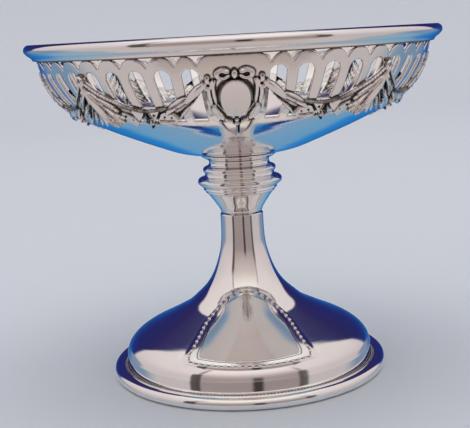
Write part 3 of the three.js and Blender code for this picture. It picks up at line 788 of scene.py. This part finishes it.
# gallery: pierced band
ARCH_HALF, ARCH_SILL, ARCH_CROWN = 2.28, 70.9, 83.0
SPAN_TIP, SPAN_TOP = 83.7, 85.75
NA = 48 * 26
NS = 96
ga = np.arange(NA) * 360.0 / NA
gs = np.linspace(float(bowl.s_of(DISH_TOP)), float(bowl.s_of(GALLERY_TOP)), NS)
GA, GS = np.meshgrid(ga, gs, indexing="ij")
near90 = np.abs((GA + 45.0) % 90.0 - 45.0)
bay = (GA / 7.5) % 1.0 * 7.5 - 3.75
gr = bowl.r_of_s(GS)
x = np.radians(bay) * gr
top_w = math.radians(ARCH_HALF) * float(bowl.r_of_s(bowl.s_of(81.6)))
s_spring = float(bowl.s_of(ARCH_CROWN)) - top_w
s_sill = float(bowl.s_of(ARCH_SILL))
legs = np.maximum(np.abs(x) - np.radians(ARCH_HALF) * gr, s_sill - GS)
head = np.hypot(x, GS - s_spring) - top_w
arch = np.where(GS > s_spring, head, legs)
arch = np.where(near90 < 7.5, 2.0, arch)
s_tip, s_top = float(bowl.s_of(SPAN_TIP)), float(bowl.s_of(SPAN_TOP))
R_OUT = 3.52
SPAN_SHIFT = 1.8
# the one next to a wreath stands off from it
bay_s = np.where(near90 < 11.25 + SPAN_SHIFT, ((near90 - SPAN_SHIFT) / 7.5) % 1.0 * 7.5 - 3.75, bay)
pier = R_OUT - np.hypot(np.radians(bay_s) * gr, GS - (s_tip - 1.275))
span = np.maximum(np.maximum(pier, GS - s_top), s_tip - GS)
span = np.where(near90 < 3.75 + SPAN_SHIFT, 2.0, span)
metal = np.minimum(arch, span)
# darkening close to the applied ornament: tarnish round its outline, with the painted shadow it casts on the gallery
dark = np.full(GA.shape, -3.0)
q = (GA + 45.0) % 90.0 - 45.0
dark = np.maximum(dark, wreath.near(q * DEG, GS))
dark = np.maximum(dark, swag.near(np.abs(q) * DEG, GS))
dark = np.maximum(dark, drop.near((np.abs(q) - 45.0) * DEG, GS))
# painted shade on the gallery round each boss
oval = 1 - np.hypot(q * DEG / (5.2 * DEG), (GS - float(bowl.s_of(76.7))) / 5.0)
dark = np.maximum(dark, oval * 4.0)
shade_and_tarnish = smoothstep(-0.42, 0.0, dark)
GZ = np.interp(GS, bowl.s, bowl.z)
# painted shade: a dark band on the pier beside each wreath
pier_shade = smoothstep(7.7, 8.1, np.abs(q)) * (1 - smoothstep(8.8, 9.6, np.abs(q)))
pier_shade *= smoothstep(72.6, 74.2, GZ) * (1 - smoothstep(77.6, 79.4, GZ))
shade_and_tarnish = np.maximum(shade_and_tarnish, 0.62 * pier_shade)
# painted shadow under the rim, along its joint with the gallery
shade_and_tarnish = np.maximum(shade_and_tarnish, 0.95 * smoothstep(float(bowl.s_of(85.45)), float(bowl.s_of(85.75)), GS))
data = np.stack([GA.ravel(), GS.ravel(), shade_and_tarnish.ravel()], 1)
data, tri, edge = clip(data, grid_tris(NA, NS, wrap=True), metal.ravel())
# clip() carries the field only as a cut flag, so measure the rounding again
soft = np.clip(np.interp(edge, [0, 0.24], [1, 0]), 0, 1)
lift = -0.20 * soft ** 2
top = bowl.place(data[:, 0], data[:, 1], lift)
bot = bowl.place(data[:, 0], data[:, 1], -SHEET - lift)
v, f = closed_sheet(top, bot, tri)
ob = make("gallery_fine", v, f, CHASED, ["gallery"], np.concatenate([data[:, 2], 0.3 * data[:, 2]]), sharp=50)

# applied ornament
wv, wf, wp = wreath.mesh(0.0, 0.55)
sv, sf, sp = swag.mesh(0.0, 0.55)
dv, df, dp = drop.mesh(0.05, 0.55)
mv, mf = mirrored(sv, sf)


def boss_mesh():
    """Smooth oval boss: a gently domed top with a steep flank round it."""
    lo, hi = float(bowl.s_of(72.5)), float(bowl.s_of(80.95))
    c, ru, rv = 0.5 * (lo + hi), 5.2 * DEG, 0.5 * (hi - lo)
    rings = np.concatenate([np.linspace(0, 0.76, 18), np.linspace(0.775, 0.86, 7), np.linspace(0.88, 1.0, 7)])
    seg = 112
    th = np.arange(seg) * 2 * math.pi / seg
    pts, pat = [(0.0, c, 1.42)], [0.0]
    brow = 0.745 + 0.185 * np.sin(th) ** 2
    for e in rings[1:]:
        top = 1.42 - 0.34 * (e / 0.8) ** 2
        flank = 0.12 + 0.98 * (1 - smoothstep(0.74, 1.04, e)) ** 1.1
        h = min(top, flank)
        for t, g in zip(th, brow):
            w = g * e / 0.76 if e <= 0.76 else g + (1 - g) * (e - 0.76) / 0.24
            pts.append((w * ru * math.cos(t), c + w * rv * math.sin(t), h))
            # painted shade on the steep flank of the boss, a little more toward its foot
            pat.append(float(0.78 * smoothstep(0.757, 0.80, e) + 0.16 * smoothstep(0.88, 1.0, e)))
    n = len(rings) - 1
    for t in th:
        pts.append((ru * math.cos(t), c + rv * math.sin(t), -0.1))
        pat.append(0.9)
    k = np.arange(seg)
    k2 = (k + 1) % seg
    faces = [np.stack([np.zeros(seg, int), 1 + k, 1 + k2], 1)]
    for j in range(n):
        a, b = 1 + j * seg, 1 + (j + 1) * seg
        faces.append(np.stack([a + k, b + k, b + k2, a + k2], 1))
    faces.append((1 + n * seg + k[::-1])[None])
    p = np.array(pts)
    return bowl.place(p[:, 0] / DEG, p[:, 1], p[:, 2]), faces, np.array(pat)


bv, bf, bp = boss_mesh()
for k, side in enumerate(("front", "right", "back", "left")):
    make("wreath_%s_fine" % side, turned_by(wv, 90 * k), wf, CHASED, ["wreath_" + side], wp, sharp=60)
    make("boss_%s_fine" % side, turned_by(bv, 90 * k), bf, POLISHED, ["boss_" + side], bp, sharp=50)
for k, (here, nxt, prev) in enumerate((("front", "right", "left"), ("right", "back", "front"),
                                        ("back", "left", "right"), ("left", "front", "back"))):
    make("swag_%s_to_%s_fine" % (here, nxt), turned_by(sv, 90 * k), sf, CHASED,
         ["swag_%s_to_%s" % (here, nxt)], sp, sharp=60)
    make("swag_%s_to_%s_fine" % (here, prev), turned_by(mv, 90 * k), mf, CHASED,
         ["swag_%s_to_%s" % (here, prev)], sp, sharp=60)
for k, name in enumerate(("front_right", "right_back", "back_left", "left_front")):
    make("drop_%s_fine" % name, turned_by(dv, 45 + 90 * k), df, CHASED, ["drop_" + name], dp, sharp=60)

# collar: socket, rings and neck
COLLAR = chain(
    [(4.3, 43.0), (5.25, 43.0)],
    spline([(5.25, 43.0), (5.5, 43.12), (5.62, 43.5), (6.05, 44.4), (6.9, 45.7), (7.7, 46.85), (8.45, 47.85),
            (8.95, 48.45)], 0.15),
    spline([(8.95, 48.45), (9.2, 48.55), (9.3, 48.8), (9.2, 49.05)], 0.08),
    spline([(9.2, 49.05), (9.6, 49.15), (9.85, 49.45), (9.75, 49.8)], 0.08),
    spline([(9.75, 49.8), (10.1, 50.05), (10.4, 50.4)], 0.1),
    spline([(10.4, 50.4), (10.95, 50.75), (11.25, 51.25), (11.25, 51.8), (10.9, 52.3), (10.3, 52.6)], 0.1),
    spline([(10.3, 52.6), (9.75, 52.75), (9.35, 53.15), (9.2, 53.75)], 0.1),
    spline([(9.2, 53.75), (9.55, 54.05), (9.75, 54.5), (9.7, 54.95), (9.4, 55.3), (8.95, 55.5)], 0.1),
    spline([(8.95, 55.5), (8.5, 55.68), (8.2, 56.05), (8.05, 56.55), (8.1, 57.05), (8.3, 57.4)], 0.1),
    spline([(8.3, 57.4), (8.8, 57.58), (9.4, 57.92), (9.95, 58.3), (10.3, 58.72)], 0.1),
    [(7.4, 58.72), (0, 58.72)],
)
v, f = lathe(chain([(0, 49.3), (4.3, 49.3)], COLLAR), 288, closed=False)
line = smoothstep(57.22, 57.38, v[:, 2]) * (1 - smoothstep(57.46, 57.6, v[:, 2]))
make("collar_fine", v, f, POLISHED, ["collar"], 0.9 * line, sharp=38)

# stem and foot, one hollow trumpet
out = np.stack([foot.r, foot.z], 1)[::4]
out = chain(out, [(5.75, 42.7)])
ins = offset(out, -SHEET)
ins = ins[(ins[:, 1] > 5.2) & (ins[:, 1] < 38.6) & (ins[:, 0] > 0.4)]
out = out[out[:, 1] < 42.2]
STEM = chain([(33.3, 1.6)], out, spline([(5.76, 42.2), (5.72, 42.5), (5.5, 42.7), (5.2, 42.72)], 0.08),
             [(4.0, 42.72), (4.0, 49.0), (0.0, 49.0)])
INNER = chain([(0.0, 39.0), (ins[-1][0] * 0.6, 38.95)], ins[::-1], [(32.4, 5.0), (32.4, 1.6), (33.3, 1.6)])
v, f = lathe(chain(INNER, STEM), 384, closed=False)
make("stem_foot_fine", v, f, POLISHED, ["stem_foot"], sharp=40)

# foot border
BORDER = chain(
    [(31.8, 0.0), (35.9, 0.0)],
    spline([(35.9, 0.0), (36.5, 0.25), (36.95, 0.85), (37.1, 1.7), (36.9, 2.4), (36.4, 2.95), (35.8, 3.2)], 0.12),
    spline([(35.8, 3.2), (35.1, 3.32), (34.55, 3.25), (34.15, 3.0), (33.85, 2.7), (33.7, 2.45)], 0.1),
    [(33.7, 1.4), (31.8, 1.4)],
)
v, f = lathe(BORDER, 432)
make("foot_border_fine", v, f, POLISHED, ["foot_border"], sharp=40)


# beaded wires
def bead_string(path, normals, r_long, r_cross, wire):
    """Small round beads along a closed path of points in mm, on a thin wire."""
    pts, faces, pat = [], [], []
    n = len(path)
    nu, nv = 10, 7
    tang = np.roll(path, -1, 0) - np.roll(path, 1, 0)
    tang /= np.linalg.norm(tang, axis=1)[:, None]
    for c, t, m in zip(path, tang, normals):
        b = np.cross(t, m)
        first = len(pts)
        for j in range(nv):
            g = math.pi * (j + 0.5) / nv
            for i in range(nu):
                w = 2 * math.pi * i / nu
                pts.append(c + t * (r_long * math.cos(g))
                           + (m * math.cos(w) + b * math.sin(w)) * (r_cross * math.sin(g)))
                # darker toward the ends of each bead and on the side facing the surface: painted shade and tarnish
                # between the beads, painted shade under them
                pat.append(0.85 * (1 - math.sin(g) ** 1.6) + 0.2 * (1 - math.cos(w)) * 0.5)
        for j in range(nv - 1):
            for i in range(nu):
                a, a2 = first + j * nu + i, first + j * nu + (i + 1) % nu
                faces.append((a, a + nu, a2 + nu, a2))
        faces.append(tuple(first + i for i in range(nu)))
        faces.append(tuple(first + (nv - 1) * nu + i for i in reversed(range(nu))))
    first = len(pts)
    k = 6
    for c, t, m in zip(path, tang, normals):
        b = np.cross(t, m)
        for i in range(k):
            w = 2 * math.pi * i / k
            pts.append(c - m * 0.06 + (m * math.cos(w) + b * math.sin(w)) * wire)
            # the core wire, seen only in the gaps, painted fully dark: painted shade
            pat.append(1.0)
    for j in range(n):
        for i in range(k):
            a, a2 = first + j * k + i, first + j * k + (i + 1) % k
            b_, b2 = first + (j + 1) % n * k + i, first + (j + 1) % n * k + (i + 1) % k
            faces.append((a, a2, b2, b_))
    return np.array(pts), faces, np.array(pat)


NB = 240
phi = np.arange(NB) * 2 * math.pi / NB
ring = np.stack([33.66 * np.sin(phi), -33.66 * np.cos(phi), np.full(NB, 2.86)], 1)
nrm = np.stack([np.sin(phi) * 0.7, -np.cos(phi) * 0.7, np.full(NB, 0.714)], 1)
v, f, p = bead_string(ring, nrm, 0.29, 0.26, 0.16)
# the whole string darker still: painted shade in the groove between the dome and the border
p = np.minimum(1.0, p + 0.3)
make("foot_bead_wire_fine", v, f, CHASED, ["foot_bead_wire"], p)

# reserve on the foot
RES = [(9.9, 29), (10.9, 30.6), (12.4, 30.8), (14.4, 32), (16.7, 33.8), (19, 31), (21, 24), (22.4, 11)]
half = spline([(a * 0.3, z) for z, a in RES], 0.25)
half[:, 0] /= 0.3
right = half
bottom = spline([(-29, 9.9), (-15, 9.55), (0, 9.45), (15, 9.55), (29, 9.9)], 1.0)
apex = spline([(11, 22.4), (6, 22.75), (0, 22.95), (-6, 22.75), (-11, 22.4)], 1.0)
outline = chain(right, apex, (right * [-1, 1])[::-1], bottom[1:-1])


def even(points, n):
    d = np.linalg.norm(np.diff(np.vstack([points, points[:1]]), axis=0), axis=1)
    t = np.concatenate([[0], np.cumsum(d)])
    w = np.arange(n) * t[-1] / n
    ext = np.vstack([points, points[:1]])
    return np.stack([np.interp(w, t, ext[:, i]) for i in range(ext.shape[1])], 1)


def on_foot(az, lift):
    return foot.place(az[:, 0], foot.s_of(az[:, 1]), lift)


N_EDGE = 260
flat_out = even(outline, N_EDGE)
mid = np.array([0.0, 15.2])


def flatter(az):
    """Lift that makes the panel nearly straight upward and rounder across."""
    z = az[:, 1]
    r = np.interp(z, foot.z, foot.r)
    r_lo, r_hi = np.interp([PANEL_LO, PANEL_HI], foot.z, foot.r)
    span_ = math.hypot(r_lo - r_hi, PANEL_HI - PANEL_LO)
    cr, cz = (PANEL_HI - PANEL_LO) / span_, (r_lo - r_hi) / span_
    gap_ = (r - r_lo) * cr + (z - PANEL_LO) * cz
    fs_ = foot.s_of(z)
    lean = np.interp(fs_, foot.s, foot.nr) * cr + np.interp(fs_, foot.s, foot.nz) * cz
    stand = PANEL_TOP * np.clip((z - PANEL_LO) / (PANEL_HI - PANEL_LO), 0, 1)
    t = np.clip(np.abs(az[:, 0]) / 33.0, 0, 1) ** 2
    middle = 1 - PANEL_SIDE * ((t + 0.03) ** 0.8 - 0.03 ** 0.8) / (1.03 ** 0.8 - 0.03 ** 0.8)
    return np.clip((stand - gap_) / lean * middle, -0.15, 3.0)


PANEL_LO, PANEL_HI, PANEL_TOP = 9.6, 22.9, 0.5
PANEL_SIDE = 0.86
steps = [1.13, 1.115, 1.10, 1.085, 1.07, 1.055, 1.04, 1.025, 1.0, 0.98, 0.95, 0.91, 0.885, 0.873, 0.866, 0.859, 0.85, 0.83,
         0.8, 0.7, 0.6, 0.5, 0.4, 0.3, 0.2, 0.1]
lifts = [0.0, 0.012, 0.04, 0.085, 0.14, 0.20, 0.25, 0.28, 0.30, 0.32, 0.36, 0.41, 0.445, 0.46, 0.45, 0.46, 0.49, 0.5] + [0.5] * 8
share = [0.0, 0.03, 0.10, 0.22, 0.37, 0.53, 0.69, 0.82, 0.94, 0.96, 0.98] + [1.0] * 15
lines = [0.0] * 13 + [0.35, 0.75, 0.35] + [0.0] * 10


def panel_ring(e, lift, part):
    az = mid + (flat_out - mid) * e
    return on_foot(az, lift + part * flatter(az))


pts = [panel_ring(e, l, w) for e, l, w in zip(steps, lifts, share)]
pts.append(on_foot(mid[None], 0.5 + flatter(mid[None])))
pts.append(panel_ring(steps[0], -0.15, 0.0))
pts = np.vstack(pts)
n = N_EDGE
k = np.arange(n)
k2 = (k + 1) % n
faces = []
for j in range(len(steps) - 1):
    faces.append(np.stack([j * n + k, j * n + k2, (j + 1) * n + k2, (j + 1) * n + k], 1))
last, hub = (len(steps) - 1) * n, len(steps) * n
faces.append(np.stack([last + k, last + k2, np.full(n, hub)], 1))
faces.append(np.stack([k, hub + 1 + k, hub + 1 + k2, k2], 1))
faces.append((hub + 1 + k[::-1])[None])
pat = np.concatenate([np.repeat(lines, n), [0.0], np.zeros(n)])
make("cartouche_plate_fine", pts, faces, POLISHED, ["cartouche_plate"], pat, sharp=60)

edge3 = even(panel_ring(1.0, 0.40, 0.94), 52)
rr = np.hypot(edge3[:, 0], edge3[:, 1])
fs = foot.s_of(np.clip(edge3[:, 2], 6.1, 42))
nr, nz = np.interp(fs, foot.s, foot.nr), np.interp(fs, foot.s, foot.nz)
nrm = np.stack([edge3[:, 0] / rr * nr, edge3[:, 1] / rr * nr, nz], 1)
v, f, p = bead_string(edge3, nrm, 0.56, 0.34, 0.2)
make("cartouche_wire_fine", v, f, CHASED, ["cartouche_wire"], p * 0.62)

# ------------------------------------------------------------------ studio
def stage_lathe(name, prof, segs):
    v, f = lathe(prof, segs, closed=False)
    me = bpy.data.meshes.new(name)
    me.from_pydata((v * MM).tolist(), [], [list(q) for arr in f for q in arr])
    me.polygons.foreach_set("use_smooth", np.ones(len(me.polygons), bool))
    ob = bpy.data.objects.new(name, me)
    scene.collection.objects.link(ob)
    me.materials.append(FLOOR)
    return ob


FLOOR = floor_material()
sweep = [(900 + 600 * math.sin(t), 600 - 600 * math.cos(t)) for t in np.linspace(0, math.pi / 2, 24)]
stage_lathe("studio_floor", [(44.0, 0.0), (22.0, 0.0), (0.0, 0.0)], 128)
back = stage_lathe("studio_sweep", [(1500.0, 1100.0)] + sweep[::-1] + [(450.0, 0.0), (44.0, 0.0)], 128)
back.visible_glossy = False


top_light = bpy.data.lights.new("soft_top", "AREA")
top_light.shape = "DISK"
top_light.size = 1.6
top_light.energy = 5.0
top_ob = bpy.data.objects.new("soft_top", top_light)
scene.collection.objects.link(top_ob)
top_ob.location = (0.0, 0.1, 1.25)
top_ob.visible_camera = False
top_ob.visible_glossy = False

# light tent: pale walls in front and at the sides, open to a dark blue backdrop
world = bpy.data.worlds.new("studio_world")
scene.world = world
world.use_nodes = True
nt = world.node_tree
nt.nodes.clear()
wo = nt.nodes.new("ShaderNodeOutputWorld")
bg = nt.nodes.new("ShaderNodeBackground")
co = nt.nodes.new("ShaderNodeTexCoord")
sp_ = nt.nodes.new("ShaderNodeSeparateXYZ")
nt.links.new(co.outputs["Generated"], sp_.inputs["Vector"])
az = math_node(nt, "MULTIPLY", math_node(nt, "ARCTAN2", sp_.outputs["X"],
                                         math_node(nt, "MULTIPLY", sp_.outputs["Y"], -1.0)), 180 / math.pi)
el = math_node(nt, "MULTIPLY", math_node(nt, "ARCSINE", sp_.outputs["Z"], 0.0), 180 / math.pi)
side = math_node(nt, "ABSOLUTE", az, 0.0)


def eased(v, lo, hi):
    """0 below lo, 1 above hi, eased between; lo and hi may be sockets."""
    mr = nt.nodes.new("ShaderNodeMapRange")
    mr.interpolation_type = "SMOOTHSTEP"
    for key, x in (("Value", v), ("From Min", lo), ("From Max", hi)):
        if isinstance(x, (int, float)):
            mr.inputs[key].default_value = x
        else:
            nt.links.new(x, mr.inputs[key])
    return mr.outputs["Result"]


def both(*facs):
    out = facs[0]
    for q in facs[1:]:
        out = math_node(nt, "MULTIPLY", out, q)
    return out


def inverse(f):
    return math_node(nt, "SUBTRACT", 1.0, f)


def by_height(stops):
    """Colour by elevation in degrees."""
    ramp = nt.nodes.new("ShaderNodeValToRGB")
    nt.links.new(math_node(nt, "DIVIDE", math_node(nt, "ADD", el, 90.0), 180.0), ramp.inputs["Fac"])
    els = ramp.color_ramp.elements
    els[0].position, els[0].color = (stops[0][0] + 90) / 180, (*stops[0][1], 1)
    els[1].position, els[1].color = (stops[-1][0] + 90) / 180, (*stops[-1][1], 1)
    for deg, col in stops[1:-1]:
        e_ = els.new((deg + 90) / 180)
        e_.color = (*col, 1)
    return ramp.outputs["Color"]


walls = by_height([(-90, (0.50, 0.44, 0.43)), (-60, (0.55, 0.49, 0.48)), (-40, (0.53, 0.48, 0.48)),
                   (-20, (0.515, 0.47, 0.48)), (-6, (0.54, 0.50, 0.505)), (8, (0.625, 0.555, 0.56)),
                   (30, (0.73, 0.655, 0.655)), (50, (0.75, 0.69, 0.685)), (62, (0.90, 0.86, 0.85)),
                   (90, (0.95, 0.92, 0.91))])
front = by_height([(-90, (0.52, 0.45, 0.43)), (-60, (0.57, 0.495, 0.48)), (-40, (0.47, 0.395, 0.375)),
                   (-22, (0.35, 0.295, 0.29)), (-6, (0.315, 0.26, 0.255)), (8, (0.33, 0.27, 0.265)),
                   (16, (0.43, 0.355, 0.345)), (28, (0.60, 0.51, 0.49)), (38, (0.76, 0.66, 0.63)),
                   (55, (0.90, 0.85, 0.83)), (90, (0.95, 0.92, 0.91))])
behind = by_height([(-90, (0.38, 0.36, 0.37)), (-60, (0.33, 0.36, 0.42)), (-45, (0.21, 0.34, 0.50)),
                    (-37, (0.165, 0.335, 0.53)), (-29.5, (0.13, 0.33, 0.55)), (-24.5, (0.030, 0.215, 0.56)),
                    (-20, (0.019, 0.195, 0.54)), (-8, (0.016, 0.11, 0.38)),
                    (4, (0.015, 0.036, 0.20)), (14, (0.018, 0.022, 0.135)), (30, (0.026, 0.022, 0.11)),
                    (48, (0.045, 0.043, 0.13)), (57, (0.12, 0.12, 0.19)), (64, (0.60, 0.57, 0.58)),
                    (90, (0.95, 0.92, 0.91))])
between = by_height([(-90, (0.46, 0.42, 0.42)), (-60, (0.36, 0.40, 0.44)), (-40, (0.283, 0.402, 0.503)),
                     (-32, (0.242, 0.376, 0.503)), (-24, (0.165, 0.29, 0.445)), (-8, (0.20, 0.27, 0.39)),
                     (4, (0.30, 0.32, 0.45)), (14, (0.018, 0.022, 0.135)), (90, (0.95, 0.92, 0.91))])
tent = mixed(nt, inverse(eased(side, 42.0, 54.0)), walls, front)
# below the horizon the blue comes round further to the sides, paler there
wide = both(eased(el, -66.0, -44.0), inverse(eased(el, -8.0, 4.0)))


def edge(at, spread):
    return math_node(nt, "ADD", at, math_node(nt, "MULTIPLY", wide, spread))


tent = mixed(nt, eased(side, edge(133.0, -43.0), edge(138.0, -20.0)), tent, between)
tent = mixed(nt, eased(side, edge(133.0, 3.0), edge(138.0, 20.0)), tent, behind)
tent = mixed(nt, both(eased(el, 48.0, 51.5), eased(side, 152.0, 162.0)), tent, (0.74, 0.67, 0.67))
# seams between the walls, and the gap that the picture is taken through
for lo, hi, foot_, top, depth in ((-57.0, -43.5, -30.0, 32.0, 0.86), (0.0, 12.0, -30.0, 20.0, 0.90),
                                  (42.5, 54.5, -30.0, 24.0, 0.78), (-53.0, -46.5, 22.0, 60.0, 0.70),
                                  (45.0, 51.0, 14.0, 52.0, 0.55)):
    gap = both(eased(az, lo, lo + 2.8), inverse(eased(az, hi - 2.8, hi)),
               eased(el, foot_, foot_ + 8.0), inverse(eased(el, top - 10.0, top)))
    tent = mixed(nt, math_node(nt, "MULTIPLY", gap, depth), tent, (0.022, 0.016, 0.014))
nt.links.new(tent, bg.inputs["Color"])
nt.links.new(bg.outputs["Background"], wo.inputs["Surface"])
bg.inputs["Strength"].default_value = 1.0

# camera, from the outline of the object in the picture
cam_data = bpy.data.cameras.new("camera")
cam = bpy.data.objects.new("camera", cam_data)
scene.collection.objects.link(cam)
F_PX = 1007.0
cam_data.sensor_fit = "HORIZONTAL"
cam_data.sensor_width = 36.0
cam_data.lens = F_PX / 470.0 * 36.0
cam_data.clip_start = 0.01
cam_data.clip_end = 20.0
yaw, pitch, roll = math.radians(-0.35), math.radians(10.15), math.radians(-3.15)
fwd = Vector((math.sin(yaw) * math.cos(pitch), math.cos(yaw) * math.cos(pitch), -math.sin(pitch)))
rgt = Vector((math.cos(yaw), -math.sin(yaw), 0))
up = rgt.cross(fwd)
r2 = math.cos(roll) * rgt + math.sin(roll) * up
u2 = -math.sin(roll) * rgt + math.cos(roll) * up
rot = Matrix((r2, u2, -fwd)).transposed().to_4x4()
cam.matrix_world = Matrix.Translation((-0.0002, -0.2680, 0.0901)) @ rot
scene.camera = cam
scene.view_settings.view_transform = "Standard"
scene.view_settings.look = "None"
